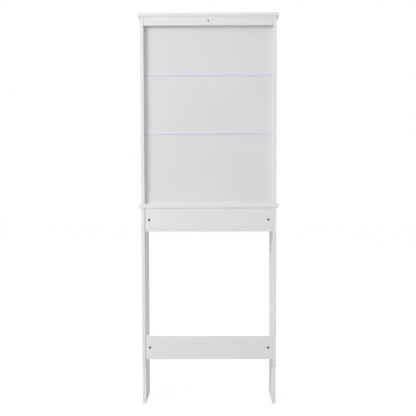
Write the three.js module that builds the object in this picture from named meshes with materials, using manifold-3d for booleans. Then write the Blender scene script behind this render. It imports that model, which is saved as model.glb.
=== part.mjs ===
// Over-the-toilet storage rack: a flat-pack unit of white-faced particle board that stands over a toilet.
// Millimetres, +Z up. The origin is on the floor, under the middle of the rack's outer box.
// The open front faces -Y and the wall side +Y. Left is -X and right is +X, as seen from the front.
import * as THREE from "three";
import { mergeVertices } from "three/addons/utils/BufferGeometryUtils.js";
import Module from "manifold-3d";

const wasm = await Module();
wasm.setup();

// ---------------------------------------------------------------- driving dimensions

const TOTAL_HEIGHT = 1727;
const LEG_HEIGHT = 878;
const BODY_WIDTH = 594; // over the outer faces of the side and leg panels
const BODY_DEPTH = 200; // of the side and leg panels
const OVERHANG = 10; // of the top board and the deck, past the panels' sides and front
const BOARD = 15; // thickness of every board except the deck
const DECK_THICKNESS = 18;

const NOTCH_HEIGHT = 185; // corner cut out of each leg for a skirting board
const NOTCH_DEPTH = 20;

const RAIL_HEIGHT = 104; // apron and stretcher
const RAIL_INSET = 2.5; // from the rear edges of the legs
const STRETCHER_BOTTOM = 205.5;
const TOP_RAIL_HEIGHT = 40;
const STRAP_HOLE_RADIUS = 2.5; // blind hole for an anti-tip strap's screw
const STRAP_HOLE_DEPTH = 12;

const BACK_THICKNESS = 3;
const BACK_CLEARANCE = 0.25; // round the back panels in their grooves
const GROOVE_GAP = 0.5; // between the grooves and the top rail
const SIDE_GROOVE_DEPTH = 5;
const BOARD_GROOVE_DEPTH = 4;
const STRIP_HEIGHT = 14; // joining strips between the back panels
const STRIP_WALL = 1.5;
const STRIP_CHAMFER = 0.5;
const LOWER_SEAM = 310; // middle of each seam and shelf, above the deck
const UPPER_SEAM = 566;

const SHELF_FRONT_SETBACK = 2;
const SHELF_REAR_GAP = 0.5;
const SHELF_END_GAP = 1;

const JOINT_ROWS = { front: -60, rear: 50 }; // Y of the fittings in the side and leg panels
const CAM_SETBACK = 20; // from the middle of a cam lock to its joint
const CAM_RADIUS = 4.9;
const CAM_HEIGHT = 11.5;
const CAM_RECESS = 0.4;
const CAM_BORE_RADIUS = 5.2;
const CAM_BORE_DEPTH = 12.2;
const CROSS_LENGTH = 6.4;
const CROSS_WIDTH = 1.2;
const CROSS_DEPTH = 2;
const CHAMBER_RADIUS = 3.8;
const CHAMBER_HEIGHT = 5.6;
const NECK_SLOT_HEIGHT = 3.6;
const SLOT_START = -Math.PI / 6; // the neck's slot goes from here to the mouth at a quarter turn

const BOLT_HOLE_RADIUS = 3.3;
const PILOT_RADIUS = 2.5;
const PILOT_DEPTH = 9;
const THREAD_LENGTH = 8.5;
const THREAD_RADIUS = 2.3;
const COLLAR_RADIUS = 3;
const SHANK_RADIUS = 2.4;
const NECK_RADIUS = 1.5;
const COLLAR_LENGTH = 1;
const HEAD_RADIUS = 2.5;
const HEAD_LENGTH = 2.4;
const HEAD_CLEARANCE = 0.2;

const DOWEL_RADIUS = 4;
const DOWEL_LENGTH = 24;
const DOWEL_CHAMFER = 0.8;
const DOWEL_IN_PANEL = 9.5;
const DOWEL_HOLE_RADIUS = 4.3;
const DOWEL_HOLE_SPARE = 0.5; // past each end of the dowel
const DOWEL_DROP = 32; // from the bolt to the dowel beside it

const PIN_PITCH = 32; // between the three heights of a shelf
const PIN_HOLE_RADIUS = 2.6;
const PIN_HOLE_DEPTH = 10;
const PIN_SEAT = 2; // from a pin's axis up to the shelf that lies on it
const PIN_RADIUS = 2.35;
const PIN_LENGTH_IN = 9;
const PIN_LENGTH_OUT = 9.2;
const PIN_COLLAR = 0.7;
const PIN_COLLAR_RADIUS = 4;
const PIN_PEG_RADIUS = 2.8;

const ROUND_SIDES = 12; // of the larger bores and the cam locks
const SMALL_SIDES = 8; // of bolts, pins, dowels and what holds them
const OVERCUT = 1; // by which a cutting tool starts outside the surface

// ---------------------------------------------------------------- derived dimensions

const INNER_WIDTH = BODY_WIDTH - 2 * BOARD;
const INNER_X = INNER_WIDTH / 2;
const OUTER_X = BODY_WIDTH / 2 + OVERHANG;
const REAR = (BODY_DEPTH + OVERHANG) / 2;
const FRONT = -REAR;
const BODY_FRONT = FRONT + OVERHANG;
const DECK_TOP = LEG_HEIGHT + DECK_THICKNESS;
const SIDE_HEIGHT = TOTAL_HEIGHT - BOARD - DECK_TOP;

const RAIL_REAR = REAR - RAIL_INSET;
const RAIL_MIDDLE_Y = RAIL_REAR - BOARD / 2;
const APRON_BOTTOM = LEG_HEIGHT - RAIL_HEIGHT;
const TOP_RAIL_FRONT = REAR - BOARD;
const TOP_RAIL_MIDDLE_Y = REAR - BOARD / 2;

const GROOVE_WIDTH = BACK_THICKNESS + 2 * BACK_CLEARANCE;
const GROOVE_REAR = TOP_RAIL_FRONT - GROOVE_GAP;
const GROOVE_FRONT = GROOVE_REAR - GROOVE_WIDTH;
const BACK_FRONT = GROOVE_FRONT + BACK_CLEARANCE;
const STRIP_FRONT = GROOVE_FRONT - STRIP_WALL;
const SHELF_REAR = STRIP_FRONT - SHELF_REAR_GAP;

const SIDES = { left: -1, right: 1 };
const AXIS_X = new THREE.Vector3(1, 0, 0);
const AXIS_Y = new THREE.Vector3(0, 1, 0);
const AXIS_Z = new THREE.Vector3(0, 0, 1);

// ---------------------------------------------------------------- materials

const FINISHES = {
  laminate: { color: 0xf2f2f0, roughness: 0.5, metalness: 0 },
  fibreboard: { color: 0xececec, roughness: 0.65, metalness: 0 },
  plastic: { color: 0xe3e1f2, roughness: 0.35, metalness: 0 },
  zinc: { color: 0x9c9da0, roughness: 0.4, metalness: 1 },
  steel: { color: 0xc4c2b8, roughness: 0.3, metalness: 1 },
  beech: { color: 0xcfa878, roughness: 0.8, metalness: 0 },
};

// ---------------------------------------------------------------- geometry helpers

/** A box between two opposite corners, given in any order. */
function block(cornerA, cornerB) {
  const size = cornerA.map((a, i) => Math.abs(cornerB[i] - a));
  const middle = cornerA.map((a, i) => (a + cornerB[i]) / 2);
  return new THREE.BoxGeometry(...size).translate(...middle);
}

/** A round cutter that goes `depth` into a board from the `mouth` of a hole, along `inward`. */
function drill(radius, mouth, inward, depth, sides = SMALL_SIDES) {
  const length = depth + OVERCUT;
  const turn = new THREE.Quaternion().setFromUnitVectors(AXIS_Y, inward);
  return new THREE.CylinderGeometry(radius, radius, length, sides)
    .translate(0, length / 2 - OVERCUT, 0)
    .applyQuaternion(turn)
    .translate(...mouth);
}

/** A solid of revolution about Y from a list of [radius, y] that starts and ends on the axis. */
function turned(profile) {
  const points = profile.map(([radius, y]) => new THREE.Vector2(radius, y));
  return new THREE.LatheGeometry(points, SMALL_SIDES);
}

/** A shape in the YZ plane made solid along +X. */
function extrudedAlongX(outline, length) {
  const shape = new THREE.Shape(outline.map(([y, z]) => new THREE.Vector2(y, z)));
  const geometry = new THREE.ExtrudeGeometry(shape, { depth: length, bevelEnabled: false });
  return geometry.applyMatrix4(new THREE.Matrix4().makeBasis(AXIS_Y, AXIS_Z, AXIS_X));
}

function toSolid(geometry) {
  const bare = geometry.clone();
  bare.deleteAttribute("normal");
  bare.deleteAttribute("uv");
  const merged = mergeVertices(bare);
  const vertProperties = merged.attributes.position.array;
  const triVerts = new Uint32Array(merged.index.array);
  return new wasm.Manifold(new wasm.Mesh({ numProp: 3, vertProperties, triVerts }));
}

/** What is left of a geometry when the cutters are taken away. */
function cut(geometry, cutters) {
  const left = cutters.reduce((solid, cutter) => solid.subtract(toSolid(cutter)), toSolid(geometry));
  const mesh = left.getMesh();
  const result = new THREE.BufferGeometry();
  result.setAttribute("position", new THREE.BufferAttribute(mesh.vertProperties, 3));
  result.setIndex(new THREE.BufferAttribute(mesh.triVerts, 1));
  const faceted = result.toNonIndexed();
  faceted.computeVertexNormals();
  return faceted;
}

function part(name, finish, geometry, position = [0, 0, 0]) {
  const mesh = new THREE.Mesh(geometry, new THREE.MeshStandardMaterial(FINISHES[finish]));
  mesh.name = name;
  mesh.position.set(...position);
  return mesh;
}

/** Turns a fitting so that its own X and Z lie along two given directions. */
function aim(mesh, alongX, alongZ) {
  const alongY = new THREE.Vector3().crossVectors(alongZ, alongX);
  mesh.quaternion.setFromRotationMatrix(new THREE.Matrix4().makeBasis(alongX, alongY, alongZ));
  return mesh;
}

// ---------------------------------------------------------------- boards

/** The groove that holds the back panels, in a horizontal board's face at height z. */
function backGroove(z, depth) {
  const reach = INNER_X + SIDE_GROOVE_DEPTH + OVERCUT;
  return block([-reach, GROOVE_FRONT, z - depth], [reach, GROOVE_REAR, z + depth]);
}

function topBoard() {
  const holes = [backGroove(0, BOARD_GROOVE_DEPTH)];
  for (const side of Object.values(SIDES)) {
    for (const y of Object.values(JOINT_ROWS)) {
      holes.push(drill(PILOT_RADIUS, [side * (INNER_X + BOARD / 2), y, 0], AXIS_Z, PILOT_DEPTH));
    }
  }
  return cut(block([-OUTER_X, FRONT, 0], [OUTER_X, REAR, BOARD]), holes);
}

function deckBoard() {
  const holes = [backGroove(DECK_THICKNESS, BOARD_GROOVE_DEPTH)];
  for (const side of Object.values(SIDES)) {
    for (const y of Object.values(JOINT_ROWS)) {
      const mouth = [side * (INNER_X + BOARD / 2), y, 0];
      holes.push(drill(BOLT_HOLE_RADIUS, mouth, AXIS_Z, DECK_THICKNESS + OVERCUT));
    }
  }
  return cut(block([-OUTER_X, FRONT, 0], [OUTER_X, REAR, DECK_THICKNESS]), holes);
}

/** A cam lock's bore in a panel's inner face, and the bolt's hole from the end at `endZ`. */
function panelCamHoles(side, y, camZ, endZ) {
  const inward = AXIS_X.clone().multiplyScalar(side);
  const fromEnd = AXIS_Z.clone().multiplyScalar(Math.sign(camZ - endZ));
  return [
    drill(CAM_BORE_RADIUS, [0, y, camZ], inward, CAM_BORE_DEPTH, ROUND_SIDES),
    drill(BOLT_HOLE_RADIUS, [(side * BOARD) / 2, y, endZ], fromEnd, CAM_SETBACK),
  ];
}

/** Height of the pins that carry a shelf whose middle is at `seam`. */
function pinHeight(seam) {
  return seam - BOARD / 2 - PIN_SEAT;
}

/** An upper side panel. Its inner face is at x = 0 and it grows towards the outside. */
function sidePanel(side) {
  const inward = AXIS_X.clone().multiplyScalar(side);
  const grooveFoot = [-side * OVERCUT, GROOVE_FRONT, -OVERCUT];
  const grooveHead = [side * SIDE_GROOVE_DEPTH, GROOVE_REAR, SIDE_HEIGHT + OVERCUT];
  const dowelMouth = [0, TOP_RAIL_MIDDLE_Y, SIDE_HEIGHT - TOP_RAIL_HEIGHT / 2];
  const holes = [
    block(grooveFoot, grooveHead),
    drill(DOWEL_HOLE_RADIUS, dowelMouth, inward, DOWEL_IN_PANEL + DOWEL_HOLE_SPARE),
  ];
  for (const y of Object.values(JOINT_ROWS)) {
    holes.push(...panelCamHoles(side, y, CAM_SETBACK, 0));
    holes.push(...panelCamHoles(side, y, SIDE_HEIGHT - CAM_SETBACK, SIDE_HEIGHT));
    for (const seam of [LOWER_SEAM, UPPER_SEAM]) {
      for (const step of [-PIN_PITCH, 0, PIN_PITCH]) {
        holes.push(drill(PIN_HOLE_RADIUS, [0, y, pinHeight(seam) + step], inward, PIN_HOLE_DEPTH));
      }
    }
  }
  return cut(block([0, BODY_FRONT, 0], [side * BOARD, REAR, SIDE_HEIGHT]), holes);
}

/** A leg panel with the skirting notch at its rear foot. Its inner face is at x = 0. */
function legPanel(side) {
  const inward = AXIS_X.clone().multiplyScalar(side);
  const outline = [
    [BODY_FRONT, 0],
    [REAR - NOTCH_DEPTH, 0],
    [REAR - NOTCH_DEPTH, NOTCH_HEIGHT],
    [REAR, NOTCH_HEIGHT],
    [REAR, LEG_HEIGHT],
    [BODY_FRONT, LEG_HEIGHT],
  ];
  const board = extrudedAlongX(outline, BOARD).translate(side < 0 ? -BOARD : 0, 0, 0);
  const holes = [];
  for (const y of Object.values(JOINT_ROWS)) {
    holes.push(...panelCamHoles(side, y, LEG_HEIGHT - CAM_SETBACK, LEG_HEIGHT));
  }
  for (const bottom of [STRETCHER_BOTTOM, APRON_BOTTOM]) {
    const boltZ = bottom + RAIL_HEIGHT / 2;
    const dowelDepth = DOWEL_IN_PANEL + DOWEL_HOLE_SPARE;
    holes.push(drill(PILOT_RADIUS, [0, RAIL_MIDDLE_Y, boltZ], inward, PILOT_DEPTH));
    holes.push(drill(DOWEL_HOLE_RADIUS, [0, RAIL_MIDDLE_Y, boltZ - DOWEL_DROP], inward, dowelDepth));
  }
  return cut(board, holes);
}

/** The hole for a dowel in a rail's end. */
function railDowelHole(side, y, z) {
  const towardMiddle = AXIS_X.clone().multiplyScalar(-side);
  const depth = DOWEL_LENGTH - DOWEL_IN_PANEL + DOWEL_HOLE_SPARE;
  return drill(DOWEL_HOLE_RADIUS, [side * INNER_X, y, z], towardMiddle, depth);
}

/** The apron under the deck and the stretcher near the floor, held by a cam lock and a dowel at each end. */
function legRail() {
  const middleZ = RAIL_HEIGHT / 2;
  const holes = [];
  for (const side of Object.values(SIDES)) {
    const towardMiddle = AXIS_X.clone().multiplyScalar(-side);
    const camX = side * (INNER_X - CAM_SETBACK);
    const fromRear = AXIS_Y.clone().negate();
    holes.push(drill(CAM_BORE_RADIUS, [camX, RAIL_REAR, middleZ], fromRear, CAM_BORE_DEPTH, ROUND_SIDES));
    holes.push(drill(BOLT_HOLE_RADIUS, [side * INNER_X, RAIL_MIDDLE_Y, middleZ], towardMiddle, CAM_SETBACK));
    holes.push(railDowelHole(side, RAIL_MIDDLE_Y, middleZ - DOWEL_DROP));
  }
  return cut(block([-INNER_X, RAIL_REAR - BOARD, 0], [INNER_X, RAIL_REAR, RAIL_HEIGHT]), holes);
}

function topRail() {
  const middleZ = TOP_RAIL_HEIGHT / 2;
  const holes = [drill(STRAP_HOLE_RADIUS, [0, REAR, middleZ], AXIS_Y.clone().negate(), STRAP_HOLE_DEPTH)];
  for (const side of Object.values(SIDES)) {
    holes.push(railDowelHole(side, TOP_RAIL_MIDDLE_Y, middleZ));
  }
  return cut(block([-INNER_X, TOP_RAIL_FRONT, 0], [INNER_X, REAR, TOP_RAIL_HEIGHT]), holes);
}

function shelf() {
  const halfWidth = INNER_X - SHELF_END_GAP;
  return block([-halfWidth, BODY_FRONT + SHELF_FRONT_SETBACK, 0], [halfWidth, SHELF_REAR, BOARD]);
}

// ---------------------------------------------------------------- back panels and joining strips

/** A back panel between two heights, standing in the grooves of the side panels. */
function backPanel(bottom, top) {
  const halfWidth = INNER_X + SIDE_GROOVE_DEPTH - 2 * BACK_CLEARANCE;
  return block([-halfWidth, BACK_FRONT, bottom], [halfWidth, BACK_FRONT + BACK_THICKNESS, top]);
}

/** An H-shaped plastic strip, whose web lies between two back panels and whose walls cover their edges. */
function joiningStrip() {
  const rear = GROOVE_REAR + STRIP_WALL;
  const half = STRIP_HEIGHT / 2;
  const web = STRIP_WALL / 2;
  const outline = [
    [STRIP_FRONT, -half + STRIP_CHAMFER],
    [STRIP_FRONT + STRIP_CHAMFER, -half],
    [GROOVE_FRONT, -half],
    [GROOVE_FRONT, -web],
    [GROOVE_REAR, -web],
    [GROOVE_REAR, -half],
    [rear - STRIP_CHAMFER, -half],
    [rear, -half + STRIP_CHAMFER],
  ];
  const upperHalf = outline.map(([y, z]) => [y, -z]).reverse();
  const length = INNER_WIDTH - 2 * SHELF_END_GAP;
  return extrudedAlongX([...outline, ...upperHalf], length).translate(-length / 2, 0, 0);
}

// ---------------------------------------------------------------- fittings

/** A cam lock. Its own +Z points out of the board's face and its +X towards the joint. */
function camLock() {
  const middleZ = -BOARD / 2;
  const body = new THREE.CylinderGeometry(CAM_RADIUS, CAM_RADIUS, CAM_HEIGHT, ROUND_SIDES)
    .rotateX(Math.PI / 2)
    .translate(0, 0, -CAM_RECESS - CAM_HEIGHT / 2);
  const chamber = new THREE.CylinderGeometry(CHAMBER_RADIUS, CHAMBER_RADIUS, CHAMBER_HEIGHT, SMALL_SIDES)
    .rotateX(Math.PI / 2)
    .translate(0, 0, middleZ);
  const mouth = drill(CHAMBER_HEIGHT / 2, [0, 0, middleZ], AXIS_Y, 2 * CAM_RADIUS);

  // The bolt's head goes in at the mouth, and its neck slides round the slot to +X as the lock turns.
  const sector = new THREE.Shape();
  const reach = 2 * CAM_RADIUS;
  sector.lineTo(reach * Math.cos(SLOT_START), reach * Math.sin(SLOT_START));
  sector.absarc(0, 0, reach, SLOT_START, Math.PI / 2, false);
  sector.closePath();
  const neckSlot = new THREE.ExtrudeGeometry(sector, {
    depth: NECK_SLOT_HEIGHT,
    bevelEnabled: false,
    curveSegments: 2,
  }).translate(0, 0, middleZ - NECK_SLOT_HEIGHT / 2);
  const crossFloor = -CAM_RECESS - CROSS_DEPTH;
  const arms = [
    block([-CROSS_LENGTH / 2, -CROSS_WIDTH / 2, crossFloor], [CROSS_LENGTH / 2, CROSS_WIDTH / 2, 0]),
    block([-CROSS_WIDTH / 2, -CROSS_LENGTH / 2, crossFloor], [CROSS_WIDTH / 2, CROSS_LENGTH / 2, 0]),
  ];
  return cut(body, [chamber, mouth, neckSlot, ...arms]);
}

/** The waist and head that a cam lock grips, from the joint at `y` towards the cam, as [radius, y]. */
function boltHead(y, direction) {
  const camMiddle = y + direction * CAM_SETBACK;
  const waist = camMiddle - direction * (CAM_BORE_RADIUS + HEAD_CLEARANCE);
  const head = camMiddle - direction * (HEAD_LENGTH - HEAD_CLEARANCE);
  const end = camMiddle + direction * HEAD_CLEARANCE;
  return [
    [SHANK_RADIUS, waist],
    [NECK_RADIUS, waist],
    [NECK_RADIUS, head],
    [HEAD_RADIUS, head],
    [HEAD_RADIUS, end],
    [0, end],
  ];
}

/** A cam bolt screwed into a board whose face is at y = 0. Its own +Y points to the cam lock. */
function camBolt() {
  return turned([
    [0, -THREAD_LENGTH],
    [THREAD_RADIUS, -THREAD_LENGTH],
    [THREAD_RADIUS, 0],
    [COLLAR_RADIUS, 0],
    [COLLAR_RADIUS, COLLAR_LENGTH],
    [SHANK_RADIUS, COLLAR_LENGTH],
    ...boltHead(0, 1),
  ]);
}

/** A double-ended bolt through the deck, which joins a side panel to the leg panel under it. */
function deckBolt() {
  const joint = DECK_THICKNESS / 2;
  return turned([...boltHead(-joint, -1).reverse(), ...boltHead(joint, 1)]);
}

function dowel() {
  const end = DOWEL_LENGTH / 2;
  const bevelled = DOWEL_RADIUS - DOWEL_CHAMFER;
  return turned([
    [0, -end],
    [bevelled, -end],
    [DOWEL_RADIUS, DOWEL_CHAMFER - end],
    [DOWEL_RADIUS, end - DOWEL_CHAMFER],
    [bevelled, end],
    [0, end],
  ]);
}

/** A shelf pin whose own +Y points out of the side panel, with a flat on top for the shelf. */
function shelfPin() {
  const round = turned([
    [0, -PIN_LENGTH_IN],
    [PIN_RADIUS, -PIN_LENGTH_IN],
    [PIN_RADIUS, 0],
    [PIN_COLLAR_RADIUS, 0],
    [PIN_COLLAR_RADIUS, PIN_COLLAR],
    [PIN_PEG_RADIUS, PIN_COLLAR],
    [PIN_PEG_RADIUS, PIN_LENGTH_OUT],
    [0, PIN_LENGTH_OUT],
  ]);
  const aboveShelfSeat = block(
    [-PIN_COLLAR_RADIUS, PIN_COLLAR, PIN_SEAT],
    [PIN_COLLAR_RADIUS, PIN_LENGTH_OUT + OVERCUT, PIN_COLLAR_RADIUS],
  );
  return cut(round, [aboveShelfSeat]);
}

// ---------------------------------------------------------------- assembly

const rack = new THREE.Group();
const base = new THREE.Group();
const cabinet = new THREE.Group();
cabinet.position.z = DECK_TOP; // heights in the cabinet count from the deck's top
rack.add(base, cabinet);

base.add(
  part("deck_board", "laminate", deckBoard(), [0, 0, LEG_HEIGHT]),
  part("apron_rail", "laminate", legRail(), [0, 0, APRON_BOTTOM]),
  part("stretcher_rail", "laminate", legRail(), [0, 0, STRETCHER_BOTTOM]),
);

const seamGap = STRIP_WALL / 2 + BACK_CLEARANCE;
const grooveReach = BOARD_GROOVE_DEPTH - 2 * BACK_CLEARANCE;
cabinet.add(
  part("top_board", "laminate", topBoard(), [0, 0, SIDE_HEIGHT]),
  part("top_rail", "laminate", topRail(), [0, 0, SIDE_HEIGHT - TOP_RAIL_HEIGHT]),
  part("lower_shelf", "laminate", shelf(), [0, 0, LOWER_SEAM - BOARD / 2]),
  part("upper_shelf", "laminate", shelf(), [0, 0, UPPER_SEAM - BOARD / 2]),
  part("back_panel_bottom", "fibreboard", backPanel(-grooveReach, LOWER_SEAM - seamGap)),
  part("back_panel_middle", "fibreboard", backPanel(LOWER_SEAM + seamGap, UPPER_SEAM - seamGap)),
  part("back_panel_top", "fibreboard", backPanel(UPPER_SEAM + seamGap, SIDE_HEIGHT + grooveReach)),
  part("joining_strip_lower", "plastic", joiningStrip(), [0, 0, LOWER_SEAM]),
  part("joining_strip_upper", "plastic", joiningStrip(), [0, 0, UPPER_SEAM]),
);

for (const [hand, side] of Object.entries(SIDES)) {
  const outward = AXIS_X.clone().multiplyScalar(side);
  const inward = outward.clone().negate();
  const down = AXIS_Z.clone().negate();
  const rearward = AXIS_Y.clone().multiplyScalar(side); // as own X, it turns a fitting's own Y inward
  const panelMiddle = side * (INNER_X + BOARD / 2);
  const dowelX = side * (INNER_X + DOWEL_IN_PANEL - DOWEL_LENGTH / 2);

  base.add(part(`leg_panel_${hand}`, "laminate", legPanel(side), [side * INNER_X, 0, 0]));
  cabinet.add(part(`side_panel_${hand}`, "laminate", sidePanel(side), [side * INNER_X, 0, 0]));

  // The rails' ends: a cam lock in the rear face, its bolt in the leg panel and a dowel below it.
  for (const [rail, bottom] of Object.entries({ apron: APRON_BOTTOM, stretcher: STRETCHER_BOTTOM })) {
    const boltZ = bottom + RAIL_HEIGHT / 2;
    const camAt = [side * (INNER_X - CAM_SETBACK), RAIL_REAR, boltZ];
    const boltAt = [side * INNER_X, RAIL_MIDDLE_Y, boltZ];
    const dowelAt = [dowelX, RAIL_MIDDLE_Y, boltZ - DOWEL_DROP];
    base.add(
      aim(part(`${rail}_cam_${hand}`, "zinc", camLock(), camAt), outward, AXIS_Y),
      aim(part(`${rail}_bolt_${hand}`, "steel", camBolt(), boltAt), rearward, AXIS_Z),
      aim(part(`${rail}_dowel_${hand}`, "beech", dowel(), dowelAt), rearward, AXIS_Z),
    );
  }
  const topDowelAt = [dowelX, TOP_RAIL_MIDDLE_Y, SIDE_HEIGHT - TOP_RAIL_HEIGHT / 2];
  cabinet.add(aim(part(`top_rail_dowel_${hand}`, "beech", dowel(), topDowelAt), rearward, AXIS_Z));

  for (const [row, y] of Object.entries(JOINT_ROWS)) {
    const corner = `${hand}_${row}`;

    // Cam locks in the inner faces: at both ends of the side panel and at the head of the leg.
    const topCamAt = [side * INNER_X, y, SIDE_HEIGHT - CAM_SETBACK];
    const footCamAt = [side * INNER_X, y, CAM_SETBACK];
    const legCamAt = [side * INNER_X, y, LEG_HEIGHT - CAM_SETBACK];
    cabinet.add(
      aim(part(`side_top_cam_${corner}`, "zinc", camLock(), topCamAt), AXIS_Z, inward),
      aim(part(`side_foot_cam_${corner}`, "zinc", camLock(), footCamAt), down, inward),
    );
    base.add(aim(part(`leg_cam_${corner}`, "zinc", camLock(), legCamAt), AXIS_Z, inward));

    // Bolts: one hangs from the top board, and one goes through the deck into both panels.
    const topBoltAt = [panelMiddle, y, SIDE_HEIGHT];
    const deckBoltAt = [panelMiddle, y, DECK_TOP - DECK_THICKNESS / 2];
    cabinet.add(aim(part(`top_bolt_${corner}`, "steel", camBolt(), topBoltAt), AXIS_X, AXIS_Y));
    base.add(aim(part(`deck_bolt_${corner}`, "steel", deckBolt(), deckBoltAt), AXIS_X, AXIS_Y));

    // Pins under both shelves.
    for (const [name, seam] of Object.entries({ lower: LOWER_SEAM, upper: UPPER_SEAM })) {
      const pinAt = [side * INNER_X, y, pinHeight(seam)];
      const pin = part(`${name}_shelf_pin_${corner}`, "steel", shelfPin(), pinAt);
      cabinet.add(aim(pin, rearward, AXIS_Z));
    }
  }
}

export default rack;
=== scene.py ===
"""Looks of the over-the-toilet storage rack: its boards, fittings and finishes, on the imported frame.

Metres, +Z up. The wall side of the rack is +Y and its open front -Y; the camera looks at it from behind.
Places come from the frame's own boxes, and the finer sizes are the named values below.
"""

import math

import bmesh
import bpy
from mathutils import Euler, Matrix, Vector


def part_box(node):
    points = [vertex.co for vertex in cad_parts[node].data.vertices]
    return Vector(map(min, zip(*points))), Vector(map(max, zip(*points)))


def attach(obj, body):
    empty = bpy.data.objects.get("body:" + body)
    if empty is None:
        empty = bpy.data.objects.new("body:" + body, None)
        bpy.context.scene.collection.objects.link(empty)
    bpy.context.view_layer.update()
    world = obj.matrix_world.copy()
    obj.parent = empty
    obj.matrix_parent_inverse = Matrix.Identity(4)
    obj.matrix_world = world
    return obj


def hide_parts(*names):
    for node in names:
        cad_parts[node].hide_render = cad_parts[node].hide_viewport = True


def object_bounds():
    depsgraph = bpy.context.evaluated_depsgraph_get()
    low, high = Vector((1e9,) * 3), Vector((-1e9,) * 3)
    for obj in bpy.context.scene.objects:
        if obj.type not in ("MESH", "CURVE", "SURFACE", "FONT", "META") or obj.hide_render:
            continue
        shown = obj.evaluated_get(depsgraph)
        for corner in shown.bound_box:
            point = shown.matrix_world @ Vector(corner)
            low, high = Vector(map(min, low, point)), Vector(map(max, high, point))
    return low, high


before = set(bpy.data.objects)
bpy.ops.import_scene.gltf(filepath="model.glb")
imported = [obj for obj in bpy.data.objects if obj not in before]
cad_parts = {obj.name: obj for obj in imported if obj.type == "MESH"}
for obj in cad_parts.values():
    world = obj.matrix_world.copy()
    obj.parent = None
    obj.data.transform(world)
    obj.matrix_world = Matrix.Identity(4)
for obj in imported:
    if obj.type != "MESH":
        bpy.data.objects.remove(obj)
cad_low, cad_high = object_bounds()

MM = 0.001
X, Y, Z = Vector((1, 0, 0)), Vector((0, 1, 0)), Vector((0, 0, 1))
INDEX = {"x": 0, "y": 1, "z": 2}
PLANE = {"x": (1, 2), "y": (0, 2), "z": (0, 1)}  # the two axes of an outline drawn across an axis

# Edges of a board's rectangle, numbered anticlockwise from the bottom, or from the front of a flat board
BOTTOM_EDGE = 0
RIGHT_END = 1
TOP_EDGE = 2
REAR_EDGE = 2
LEFT_END = 3
LEG_TOP_EDGE = 4  # of a leg's outline, which has two more corners at its notch

# Boards
THIN_BAND = 0.8 * MM  # edge banding
THIN_EASE = 0.5 * MM  # rounding of its rims
THICK_BAND = 2 * MM  # of the top board and the deck
THICK_EASE = 1.3 * MM
BAND_SEAM = 0.05 * MM  # between the banding and the board's core
JOINT_GAP = 0.5 * MM  # at the ends of a board that is pulled up against another
TIGHT_GAP = 0.2 * MM  # above the apron, which carries the deck
RAIL_END_GAP = 0.7 * MM  # the top rail has only dowels, which pull nothing up
EASE_STEPS = 3
SHARP_ANGLE = math.radians(40)

# Holes
CAM_BORE_RADIUS = 5.2 * MM
CAM_BORE_DEPTH = 12.2 * MM
BOLT_HOLE_RADIUS = 3.3 * MM
PILOT_RADIUS = 2.5 * MM
PILOT_DEPTH = 9 * MM
DOWEL_HOLE_RADIUS = 4.3 * MM
DOWEL_HOLE_SPARE = 0.5 * MM
PIN_HOLE_RADIUS = 2.6 * MM
PIN_HOLE_DEPTH = 10 * MM
PIN_PITCH = 32 * MM
STRAP_HOLE_RADIUS = 2.5 * MM
STRAP_HOLE_DEPTH = 12 * MM
STRAP_HOLE_FLARE = 0.7 * MM
HOLE_FLARE = 0.15 * MM
GROOVE_CLEARANCE = 0.25 * MM
ROUND_SIDES = 40
OVERCUT = 1 * MM  # by which a cutter reaches past the face that it opens

# Fittings
CAM_RADIUS = 4.9 * MM
CAM_RIM = 0.35 * MM
CAM_DISH = CAM_RIM / 2  # depth of the face inside the rim
CROSS_LENGTH = 6.6 * MM
CROSS_WIDTH = 1.3 * MM
CROSS_DEPTH = 2.2 * MM
CROSS_FOOT_LENGTH = 0.7 * CROSS_LENGTH
CROSS_FOOT_WIDTH = 0.6 * CROSS_WIDTH
ARROW_TIP = CAM_RADIUS - 2.2 * CAM_RIM
ARROW_LENGTH = 1.1 * MM
ARROW_DEPTH = 0.3 * MM
CHAMBER_RADIUS = 3.8 * MM
CHAMBER_HEIGHT = 5.6 * MM
NECK_SLOT_HEIGHT = 3.6 * MM
NECK_SLOT_START = -math.pi / 6
NECK_SLOT_TURN = math.pi * 2 / 3
NECK_SLOT_STEPS = 8
PIN_RADIUS = 2.35 * MM
PIN_COLLAR_RADIUS = 4 * MM
PIN_COLLAR = 0.7 * MM
PIN_PEG_RADIUS = 2.8 * MM
PIN_SEAT = 2 * MM  # from the pin's axis up to its flat
PIN_EASE = 0.3 * MM
STRIP_LIP = 0.35 * MM
STRIP_WEB = 1.5 * MM
STRIP_STEPS = 12
DRESSED_EASE = 0.15 * MM
DRESSED_ANGLE = math.radians(50)
WELD_REACH = 0.01 * MM

HANDS = ("left", "right")
ROWS = ("front", "rear")
SHELVES = ("lower", "upper")


# ---------------------------------------------------------------- places in the frame


def middle(node):
    """Centre of a node's box."""
    low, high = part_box(node)
    return (low + high) / 2


def inward(hand):
    """From the panel on that hand towards the middle of the rack."""
    return X if hand == "left" else -X


def inner_face(hand):
    """X of the inner faces of the side and leg panels on that hand."""
    low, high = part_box(f"side_panel_{hand}")
    return high.x if hand == "left" else low.x


def back_groove_span():
    """Front and rear of the grooves that hold the back panels."""
    low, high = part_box("back_panel_middle")
    return low.y - GROOVE_CLEARANCE, high.y + GROOVE_CLEARANCE


# ---------------------------------------------------------------- meshes


def place(outline_point, along, axis):
    """A point of an outline across an axis, at a given place along that axis."""
    u, v = PLANE[axis]
    position = [0.0, 0.0, 0.0]
    position[u], position[v] = outline_point
    position[INDEX[axis]] = along
    return position


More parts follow.
